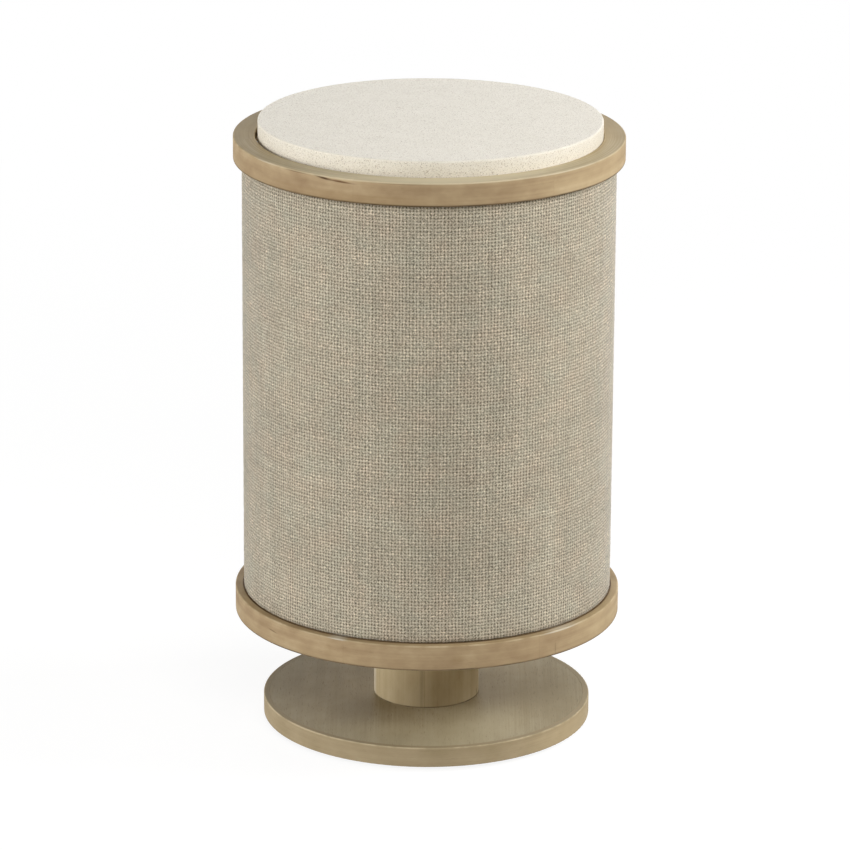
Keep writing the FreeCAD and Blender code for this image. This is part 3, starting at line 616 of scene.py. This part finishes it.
# %% Where the wood lies, and its tones
BOARDS = 6
RING_RADIUS, RECESS_RADIUS, COLUMN_RADIUS = cad_box[1][0], 177.5 * MM, 55 * MM
PLINTH_RADIUS, PLINTH_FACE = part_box("plinth_lipping")[1].x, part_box("plinth_lipping")[1].z
UPPER_FACE, LOWER_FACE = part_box("upper_ring_segment_1")[1].z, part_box("lower_ring_segment_1")[1].z
UPPER_FOOT, LOWER_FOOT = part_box("upper_ring_segment_1")[0].z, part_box("lower_ring_segment_1")[0].z
RING_TONES = ("#9a8264", "#ad9675", "#bea988")
STAVE_TONES = ("#b19e7c", "#bbaa87", "#c5b593")
VENEER_TONES = ("#9a8f75", "#a2977d", "#aaa087")
BAND_TONES = ("#9e8e6f", "#a79678", "#b09f81")
BARK, HEART, GROWTH, KNOT = "#4a3323", "#5a3a26", "#84683f", "#40352a"
# Of the tones on the line below, the first is painted light, the second painted highlights on arrises, the
# third a rubbed wash with a painted highlight, and the last a dark painted shade line.
PAINTED_LIGHT, PAINTED_HIGHLIGHT, RUBBED_AND_HIGHLIGHT, PAINTED_SHADE_LINE = "#cdb892", "#d2cab9", "#d9c9a8", "#3a2f21"
print("ring edges from", [round(z / MM, 1) for z in (LOWER_FOOT, LOWER_FACE, UPPER_FOOT, UPPER_FACE)], "mm")

# %% Marks in the wood
ALL_THROUGH = 1000.0
# Distance of a flat's middle from the axis, half its width, and half the depth of a mark on it.
RING_FLAT = (188 * MM, 26 * MM, 2 * MM)
BAND_FLAT = (168 * MM, 6 * MM, 1 * MM)


def strokes(radius, *rows):
    """Marks on a round edge. A row gives degrees to the right of the front, height, half length and half
    height in millimetres, strength, tone and lean."""
    return [((math.radians(degrees) * radius, 0, height * MM),
             (half_length * MM, ALL_THROUGH, half_height * MM), (0, lean, 0), strength, tone)
            for degrees, height, half_length, half_height, strength, tone, lean in rows]


def flat_mark(flat, face, half_length, strength, tone):
    """A mark on a level flat alone, centred on the front."""
    out, half_width, half_depth = flat
    return (0, out, face), (half_length, half_width, half_depth), (0, 0, 0), strength, tone


def patches(*rows):
    """Marks on the plinth's face. A row gives x, y and half sizes in millimetres, turn, strength, tone."""
    return [((x * MM, y * MM, PLINTH_FACE), (half_x * MM, half_y * MM, ALL_THROUGH), (0, 0, turn),
             strength, tone) for x, y, half_x, half_y, turn, strength, tone in rows]


# On the upper ring, the pale stroke on the right is painted light, and the pale line over the dark knot and
# the pale strokes on the arris are painted highlights. The growth band and the dark strokes are the wood's
# own marks.
UPPER_MARKS = strokes(
    RING_RADIUS,
    (-22, 609, 120, 7, 0.22, GROWTH, 0),
    (58, 617, 115, 30, 0.32, PAINTED_LIGHT, 0),
    (-41, 627.6, 20, 1.1, 0.7, HEART, 0),
    (-32, 626.9, 13, 1.7, 0.95, BARK, 0.16),
    (-26, 625.0, 16, 1.3, 0.85, HEART, 0.05),
    (-25, 627.2, 12, 0.8, 0.6, PAINTED_LIGHT, 0.05),
    (-8, 627.4, 40, 0.6, 0.4, BARK, 0),
    (-55, 628.2, 24, 0.9, 0.7, PAINTED_HIGHLIGHT, 0),
    (42, 628.2, 60, 0.8, 0.6, PAINTED_HIGHLIGHT, 0),
)
UPPER_MARKS.append(flat_mark(RING_FLAT, UPPER_FACE, ALL_THROUGH, 0.6, "#a5946d"))
# A paler front stretch on the upper ring's flat: a painted reflection of the stone's pale edge in the
# lacquer.
UPPER_MARKS.append(flat_mark(RING_FLAT, UPPER_FACE, 280 * MM, 0.92, "#ded1b2"))
# On the lower ring, the pale stroke on the right is painted light. The other strokes in this list are the
# wood's own marks.
LOWER_MARKS = strokes(
    RING_RADIUS,
    (-52, 135, 9, 0.9, 0.5, BARK, 0.1),
    (-30, 134, 6, 9, 0.12, GROWTH, 0),
    (9, 133, 9, 7, 0.16, GROWTH, 0),
    (41, 128, 1.0, 8, 0.3, BARK, 0),
    (66, 134, 90, 30, 0.35, PAINTED_LIGHT, 0),
)
# The lower ring's flat is darkened all round: painted shade beside the foot of the drum.
LOWER_MARKS.append(flat_mark(RING_FLAT, LOWER_FACE, ALL_THROUGH, 0.3, "#8a7850"))
# Two pale strokes on the lower ring's arris: painted highlights.
LOWER_MARKS += strokes(
    RING_RADIUS,
    (-27, 146.4, 14, 1.0, 0.8, PAINTED_HIGHLIGHT, 0),
    (44, 146.2, 30, 1.1, 0.8, PAINTED_HIGHLIGHT, 0),
)
# The pale strip on the column's left is a painted highlight. The seam and the knot are the wood's own
# marks.
COLUMN_MARKS = strokes(
    COLUMN_RADIUS,
    (-82, 78, 10, 200, 0.6, PAINTED_HIGHLIGHT, 0),
    (-5, 60, 2.5, 60, 0.22, BARK, 0),
    (73, 30, 1.2, 5, 0.7, KNOT, 0),
)
# Painted light and shade on the plinth's face: a painted shadow left-front of the column, painted light at
# the front and front right, and painted shade on the right.
VENEER_LIGHT_AND_SHADE = patches(
    (-70, -65, 40, 70, -0.25, 0.3, "#6a5f48"),
    (60, -85, 75, 55, 0, 0.35, "#bab193"),
    (0, -140, 150, 60, 0, 0.4, "#bab193"),
    (130, -20, 60, 120, 0, 0.45, "#7d7050"),
)
# The pale stroke on the right of the edge band is painted light. Its flat takes the veneer's tone.
BAND_MARKS = strokes(PLINTH_RADIUS, (62, 15, 80, 20, 0.3, PAINTED_LIGHT, 0))
BAND_MARKS.append(flat_mark(BAND_FLAT, PLINTH_FACE, ALL_THROUGH, 0.8, "#978b70"))
print("marks on the rings:", len(UPPER_MARKS), "and", len(LOWER_MARKS))

# %% Rubbed rims with painted highlights, and painted shade lines
RUB_HIGHLIGHT_WIDTH, FOOT_LINE, FINE_LINE = 1.8 * MM, 2.6 * MM, 1.5 * MM
# Round the outer and inner arrises of the faces the wash is rubbed paler, with a painted highlight over it.
UPPER_RIMS = [
    (RING_RADIUS, UPPER_FACE, RUB_HIGHLIGHT_WIDTH, 0.05, 0.5, RUBBED_AND_HIGHLIGHT),
    (RECESS_RADIUS, UPPER_FACE, RUB_HIGHLIGHT_WIDTH, 0.1, 0.5, RUBBED_AND_HIGHLIGHT),
    # A dark painted shade line under the ring's foot.
    (RING_RADIUS, UPPER_FOOT, FOOT_LINE, 0.6, 0.9, PAINTED_SHADE_LINE),
]
LOWER_RIMS = [
    (RING_RADIUS, LOWER_FACE, RUB_HIGHLIGHT_WIDTH, 0.05, 0.45, RUBBED_AND_HIGHLIGHT),
    # Dark painted shade lines where the cloth meets the ring and under the ring's foot.
    (WRAP_RADIUS, LOWER_FACE, FINE_LINE, 0.75, 0.95, "#4a3421"),
    (RING_RADIUS, LOWER_FOOT, FOOT_LINE, 0.5, 0.8, PAINTED_SHADE_LINE),
]
# A dark painted shade line round the column's foot.
COLUMN_RIMS = [(COLUMN_RADIUS, PLINTH_FACE, FINE_LINE, 0.5, 0.8, PAINTED_SHADE_LINE)]
# The edge band's top arris: rubbed paler, with a painted highlight.
BAND_RIMS = [(PLINTH_RADIUS, PLINTH_FACE, FINE_LINE, 0.2, 0.7, RUBBED_AND_HIGHLIGHT)]
print("rubbed edges", RUB_HIGHLIGHT_WIDTH / MM, "mm wide, foot lines", FOOT_LINE / MM, "mm")

# %% Rings, column and plinth
RING_STREAKS, STAVE_SEAM, VENEER_PORES = 0.16, 0.35, 0.5
STAVE_JOINT, STAVE_SEED, VENEER_SEED, BAND_SEED = 28, 21, 31, 33
# The degrees of a ring's first joint are the seed of its grain too.
RINGS = {"upper": (8, UPPER_MARKS, UPPER_RIMS), "lower": (5, LOWER_MARKS, LOWER_RIMS)}
for ring, (joint, marks, rims) in RINGS.items():
    finish = washed_wood(f"washed_ash_{ring}_ring",
                         lambda t: boards_round(t, BOARDS, math.radians(joint), RING_RADIUS),
                         joint, RING_TONES, streaks=RING_STREAKS, marks=marks, rims=rims)
    paint(finish, *[f"{ring}_ring_segment_{k + 1}" for k in range(BOARDS)])
staves = washed_wood("washed_ash_staves",
                     lambda t: boards_round(t, BOARDS, math.radians(STAVE_JOINT), COLUMN_RADIUS, True),
                     STAVE_SEED, STAVE_TONES, seam=STAVE_SEAM, marks=COLUMN_MARKS, rims=COLUMN_RIMS)
paint(staves, *[f"column_stave_{k + 1}" for k in range(BOARDS)])
veneer = washed_wood("washed_ash_veneer", straight_board, VENEER_SEED, VENEER_TONES,
                     pores=VENEER_PORES, marks=VENEER_LIGHT_AND_SHADE)
paint(veneer, "plinth_top_veneer", "plinth_bottom_veneer")
band = washed_wood("washed_ash_edge_band", lambda t: boards_round(t, 1, math.pi / 2, PLINTH_RADIUS),
                   BAND_SEED, BAND_TONES, marks=BAND_MARKS, rims=BAND_RIMS)
paint(band, "plinth_lipping")
print("washed ash on", 3 * BOARDS + 3, "nodes")

# %% [markdown]
# ## Stone
# The top is a cream limestone, sawn and honed: matt, even, with fine fawn, white and grey grit, and a
# paler line along its arris, a painted highlight. Grit could be strewn as thousands of small stones, but
# honing cuts it flush, so it is only colour: three noises, each cut off at a level that leaves separate
# grains.

# %% Stone finish
# Honed limestone: a dull, pale face with a soft bloom and no mirror.
stone, tree, shader = new_finish("honed_cream_limestone")
CLOUDING = 20 * MM
# Width, level, strength and tone. Real grit is a few tenths of a millimetre wide, too fine to show, so
# it is drawn about a millimetre wide.
GRIT = (
    (1.2 * MM, 0.61, 0.65, "#a5927a"),
    (1.6 * MM, 0.58, 0.5, "#fffaf0"),
    (0.9 * MM, 0.62, 0.65, "#8b7f70"),
)
GRIT_EDGE, GRIT_APART = 0.08, 40
spot = (add(tree, "TexCoord"), "Object")
cloud = add(tree, "TexNoise", {"Vector": spot, "Scale": 1 / CLOUDING, "Detail": 5.0, "Roughness": 0.6})
colour = (add(tree, "ValToRGB", {0: cloud}, stops=[(0.3, shade("#ece6d7")), (0.7, shade("#f2ecde"))]), 0)
for width, least, strength, tone in GRIT:
    place = add(tree, "Mapping", {"Vector": spot, "Location": (0, 0, GRIT_APART * width)})
    grit = add(tree, "TexNoise", {"Vector": place, "Scale": 1 / width, "Detail": 1.0})
    fleck = add(tree, "MapRange", {"Value": grit, "From Min": least, "From Max": least + GRIT_EDGE,
                                   "To Max": strength})
    colour = (add(tree, "Mix", {0: fleck, 6: colour, 7: shade(tone)}, data_type="RGBA"), 2)
low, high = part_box("top_slab")
middle, radius = (low.x + high.x) / 2, (high.x - low.x) / 2
# A paler line along the top arris: a painted highlight.
arris_highlight = add(tree, "MapRange", {"Value": off_rim(tree, radius, high.z, middle), "From Min": 2.2 * MM,
                              "From Max": 0.8 * MM, "To Max": 0.45})
colour = (add(tree, "Mix", {0: arris_highlight, 6: colour, 7: shade("#fff8ea")}, data_type="RGBA"), 2)
wire(tree, shader, {"Base Color": colour, "Roughness": 0.5, "IOR": 1.5, "Specular IOR Level": 0.08})
paint(stone, "top_slab")
print("stone with", len(GRIT), "kinds of grit")

# %% [markdown]
# ## Raw wood inside
# Deck, floor, skins and the core of the plinth are birch plywood, left raw: pale, with wide rotary-cut
# figure on the faces and thin dark and light plies on the edges. The uprights, keys and plugs are planed
# softwood with clear year rings. They show when the slab is lifted out or the table lies on its side.
# Plies could be modelled sheet by sheet, but on the level panels the way a face points is enough to tell
# face from edge, and the skins stay hidden under the cloth.

# %% Plywood
PLY, FIGURE_ALONG, FIGURE_ACROSS = 1.4 * MM, 0.3, 14 * MM
EDGE_TILT = 0.5
# Raw rotary-cut birch: dry and pale, a lazy figure on the faces and stripes on the edges.
birch, tree, shader = new_finish("raw_birch_plywood")
spot = (add(tree, "TexCoord"), "Object")
face = add(tree, "Mapping", {"Vector": spot, "Scale": (FIGURE_ALONG, FIGURE_ACROSS, FIGURE_ACROSS)},
           vector_type="TEXTURE")
figure = add(tree, "TexNoise", {"Vector": face, "Scale": 1.0, "Detail": 5.0, "Distortion": 0.6})
figure = (add(tree, "ValToRGB", {0: figure},
              stops=[(0.3, shade("#c9ad83")), (0.7, shade("#e0c9a2"))]), 0)
height = (add(tree, "SeparateXYZ", {0: spot}), "Z")
plies = add(tree, "Math", {0: height, 1: 2 * PLY}, operation="PINGPONG")
plies = add(tree, "MapRange", {"Value": plies, "From Min": 0.8 * PLY, "From Max": 1.2 * PLY})
plies = (add(tree, "Mix", {0: plies, 6: shade("#b08d5e"), 7: shade("#d8bd92")}, data_type="RGBA"), 2)
upward = (add(tree, "SeparateXYZ", {0: (add(tree, "NewGeometry"), "Normal")}), "Z")
upward = add(tree, "Math", {0: upward}, operation="ABSOLUTE")
on_edge = add(tree, "Math", {0: upward, 1: EDGE_TILT}, operation="LESS_THAN")
colour = (add(tree, "Mix", {0: on_edge, 6: figure, 7: plies}, data_type="RGBA"), 2)
wire(tree, shader, {"Base Color": colour, "Roughness": 0.75, "Specular IOR Level": 0.3})
BIRCH_NODES = ("deck_panel", "floor_panel", "drum_skin_front", "drum_skin_back", "drum_former",
               "plinth_core")
paint(birch, *BIRCH_NODES)
print("birch plywood on", len(BIRCH_NODES), "nodes")

# %% Softwood
YEAR, YEAR_SWAY, STILES = 3 * MM, 80 * MM, 6
# Planed softwood: smooth and dry, with stripes of pale early and darker late wood.
pine, tree, shader = new_finish("planed_softwood")
spot = (add(tree, "TexCoord"), "Object")
sway = add(tree, "TexNoise", {"Vector": spot, "Scale": 1 / YEAR_SWAY, "Detail": 2.0})
across = (add(tree, "SeparateXYZ", {0: spot}), "X")
across = add(tree, "Math", {0: across, 1: 1 / YEAR, 2: sway}, operation="MULTIPLY_ADD")
year = add(tree, "Math", {0: across}, operation="FRACT")
colour = (add(tree, "ValToRGB", {0: year}, stops=[(0.2, shade("#e3cda2")), (0.85, shade("#c9a266"))]), 0)
wire(tree, shader, {"Base Color": colour, "Roughness": 0.7, "Specular IOR Level": 0.3})
paint(pine, "column_plug_lower", "column_plug_upper", "upper_ring_splines", "lower_ring_splines",
      *[f"drum_stile_{k + 1}" for k in range(STILES)])
print("softwood on", STILES + 4, "nodes")

# %% [markdown]
# ## Steel, silicone and nylon
# Screws, rod, sockets and studs are zinc-plated steel: bright, a little milky, in patches of two greys.
# The dots under the slab are clear silicone, and the glides are black nylon with the grain of the mould.
# Plain colours would do for parts so small, but these surfaces show when the slab is lifted out or the
# table is turned over, so each gets the fine unevenness of its own making.

# %% Zinc plating
# Patches of real plating are finer. They are drawn this wide so that they show.
PLATING = 2.5 * MM
# Zinc-plated steel: a bright metal with a milky bloom, in faint patches.
zinc, tree, shader = new_finish("zinc_plated_steel")
spot = (add(tree, "TexCoord"), "Object")
patch = add(tree, "TexVoronoi", {"Vector": spot, "Scale": 1 / PLATING})
tone = (add(tree, "ValToRGB", {0: (patch, "Color")},
            stops=[(0.2, shade("#b9bcbb")), (0.8, shade("#cdcfcc"))]), 0)
rough = add(tree, "MapRange", {"Value": (patch, "Color"), "To Min": 0.28, "To Max": 0.42})
wire(tree, shader, {"Base Color": tone, "Metallic": 1.0, "Roughness": rough})
ZINC_NODES = ("upper_ring_screws", "floor_screws", "tie_rod", "tie_rod_nuts", "tie_rod_washers",
              "glide_sockets")
paint(zinc, *ZINC_NODES)
print("zinc plating on", len(ZINC_NODES), "nodes")

# %% Silicone and nylon
DUST, MOULD_GRAIN, GRAIN_DEPTH = 0.8 * MM, 0.5 * MM, 0.05 * MM
GLIDES = range(1, 5)
# Cast silicone: half clear and smooth, a little cloudy where dust clings to it.
clear, tree, shader = new_finish("clear_silicone")
spot = (add(tree, "TexCoord"), "Object")
dust = add(tree, "TexNoise", {"Vector": spot, "Scale": 1 / DUST, "Detail": 2.0})
tone = (add(tree, "ValToRGB", {0: dust}, stops=[(0.4, shade("#d9d8d2")), (0.7, shade("#eeede8"))]), 0)
wire(tree, shader, {"Base Color": tone, "Roughness": 0.35, "IOR": 1.41, "Transmission Weight": 0.35})

# Moulded nylon: dark and satin. The mould's grain is drawn coarser than real, so that it shows.
nylon, tree, shader = new_finish("moulded_black_nylon")
spot = (add(tree, "TexCoord"), "Object")
grain = add(tree, "TexNoise", {"Vector": spot, "Scale": 1 / MOULD_GRAIN, "Detail": 2.0})
tone = (add(tree, "ValToRGB", {0: grain}, stops=[(0.35, shade("#1b1b1a")), (0.7, shade("#2a2a28"))]), 0)
bump = add(tree, "Bump", {"Height": grain, "Strength": 0.3, "Distance": GRAIN_DEPTH})
wire(tree, shader, {"Base Color": tone, "Roughness": 0.55, "IOR": 1.53, "Normal": bump})
paint(nylon, *[f"glide_pad_{k}" for k in GLIDES])
print("nylon on", len(GLIDES), "glide pads, silicone ready for the dots")

# %% [markdown]
# ## Small turned parts
# The dots, screw heads and threaded studs are round about an upright axis, so they are turned: a profile
# is carried round the axis, and where the radius also changes with the angle it makes a cross recess or
# a thread. A bump in the finish could fake these, but it would not show at the outline or in a printed
# part, and modelled threads and recesses cost little here.

# %% Turning
def turned(radius, height, centre):
    """A closed shape from grids of radius and height: a row for each step of the profile from the foot
    to the top, a column for each step round. A point on the axis closes each end."""
    rows, columns = radius.shape
    angle = np.linspace(0, 2 * math.pi, columns, endpoint=False)
    skin = np.stack([centre[0] + radius * np.cos(angle), centre[1] + radius * np.sin(angle), height], -1)
    poles = [[*centre, height[0].mean()], [*centre, height[-1].mean()]]
    here = np.arange(rows * columns).reshape(rows, columns)
    after = np.roll(here, -1, 1)
    wall = np.stack([here[:-1], after[:-1], after[1:], here[1:]], -1).reshape(-1, 4)
    foot = np.stack([np.full(columns, here.size), after[0], here[0]], -1)
    cap = np.stack([np.full(columns, here.size + 1), here[-1], after[-1]], -1)
    return np.concatenate([skin.reshape(-1, 3), poles]), wall, np.concatenate([foot, cap])


def gathered(name, parts, node, body, finish):
    """One piece from several turned parts, in place of a node: the points of all parts in a row, with
    the faces of each part numbered on from the parts before it."""
    start = np.cumsum([0] + [len(points) for points, _, _ in parts[:-1]])
    faces = [np.concatenate([part[kind] + first for part, first in zip(parts, start)]) for kind in (1, 2)]
    made = fill_mesh(name, np.concatenate([part[0] for part in parts]), faces)
    made.data.materials.append(finish)
    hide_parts(node)
    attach(made, body)
    print(name, len(made.data.polygons), "faces")


def round_table(count, radius, first=0.0):
    """Points on a circle about the table's axis, at equal angles from the first."""
    angle = first + 2 * math.pi * np.arange(count) / count
    return np.stack([radius * np.cos(angle), radius * np.sin(angle)], 1)


print("ready to turn dots, screws and", len(GLIDES), "studs")

# %% Silicone dots
DOTS, DOT_PLACE, DOT_RADIUS, DOT_EDGE = 6, 140 * MM, 6 * MM, 0.3 * MM
DOME_TURN, DOME_STEPS, DOT_STEPS = math.radians(80), 9, 32
low, high = (corner.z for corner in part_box("slab_bumpers"))
rise = np.linspace(0, DOME_TURN, DOME_STEPS)
radius = DOT_RADIUS * np.concatenate([[1], np.cos(rise)])
dome = low + DOT_EDGE + (high - low - DOT_EDGE) * np.sin(rise) / np.sin(DOME_TURN)
height = np.concatenate([[low], dome])
grids = [np.repeat(a[:, None], DOT_STEPS, 1) for a in (radius, height)]
gathered("silicone_dots", [turned(*grids, place) for place in round_table(DOTS, DOT_PLACE)],
         "slab_bumpers", "table", clear)

# %% Wood screws
HEAD, SHANK, HEAD_HEIGHT, HEAD_EDGE, POINT = 4 * MM, 2 * MM, 2.5 * MM, 0.2 * MM, 4 * MM
ARM, ARM_HALF, RECESS = 2.2 * MM, 0.6 * MM, 1.6 * MM
SCREWS, SCREW_STEPS, LEAST_SINE = 6, 48, 0.05
DECK_PLACE, RING_PLACE, RING_FIRST = 173 * MM, 170.65 * MM, math.radians(35)
around = np.linspace(0, 2 * math.pi, SCREW_STEPS, endpoint=False)
off_arm = np.abs((around + math.pi / 4) % (math.pi / 2) - math.pi / 4)
cross = np.minimum(ARM / np.cos(off_arm), ARM_HALF / np.maximum(np.sin(off_arm), LEAST_SINE))
outline = [k * np.ones(SCREW_STEPS) for k in (0.1 * SHANK, SHANK, SHANK, HEAD, 0.96 * HEAD)]
screw_radius = np.stack(outline + [cross, 0.5 * cross])


def screws(node, place, first, up):
    """Countersunk screws: point, shank, cone and head, then a cross recess that narrows as it goes in.
    The cross is the nearer of an arm's end and an arm's side at each angle."""
    low, high = (corner.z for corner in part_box(node))
    head, way = (high, -1) if up else (low, 1)
    length = high - low
    steps = np.array([length, length - POINT, HEAD_HEIGHT, HEAD_EDGE, 0, 0, RECESS])
    height = np.repeat((head + way * steps)[:, None], SCREW_STEPS, 1)
    order = slice(None) if up else slice(None, None, -1)
    parts = [turned(screw_radius[order], height[order], spot) for spot in round_table(SCREWS, place, first)]
    gathered("cross_" + node, parts, node, "table", zinc)


screws("deck_screws", DECK_PLACE, 0.0, True)
screws("lower_ring_screws", RING_PLACE, RING_FIRST, False)

# %% Threaded studs
STUD, PITCH, THREAD, STUD_STEPS, STEPS_A_PITCH = 4 * MM, 1.25 * MM, 0.6 * MM, 32, 6
COLLAR, COLLAR_HEIGHT, FOOT_EASE, TOP_EASE, TIP = 7 * MM, 2.5 * MM, 0.4 * MM, 0.3 * MM, 0.8 * MM
turn = np.linspace(0, 1, STUD_STEPS, endpoint=False)
for k in GLIDES:
    low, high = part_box(f"glide_stud_{k}")
    centre = ((low.x + high.x) / 2, (low.y + high.y) / 2)
    collar = low.z + COLLAR_HEIGHT
    z = np.arange(collar, high.z - TIP, PITCH / STEPS_A_PITCH)
    # A thread is a groove whose depth rises and falls once a pitch, and that climbs a pitch each turn.
    groove = np.abs(2 * ((z[:, None] / PITCH - turn) % 1) - 1)
    base = np.array([[0.95 * COLLAR, low.z], [COLLAR, low.z + FOOT_EASE], [COLLAR, collar - TOP_EASE],
                     [0.96 * COLLAR, collar], [STUD - THREAD, collar]])
    radius = np.concatenate([np.repeat(base[:, :1], STUD_STEPS, 1), STUD - THREAD * groove,
                             np.full((1, STUD_STEPS), STUD - 1.2 * THREAD)])
    height = np.concatenate([np.repeat(base[:, 1:], STUD_STEPS, 1), np.repeat(z[:, None], STUD_STEPS, 1),
                             np.full((1, STUD_STEPS), high.z)])
    gathered(f"threaded_glide_stud_{k}", [turned(radius, height, centre)], f"glide_stud_{k}", f"glide_{k}",
             zinc)
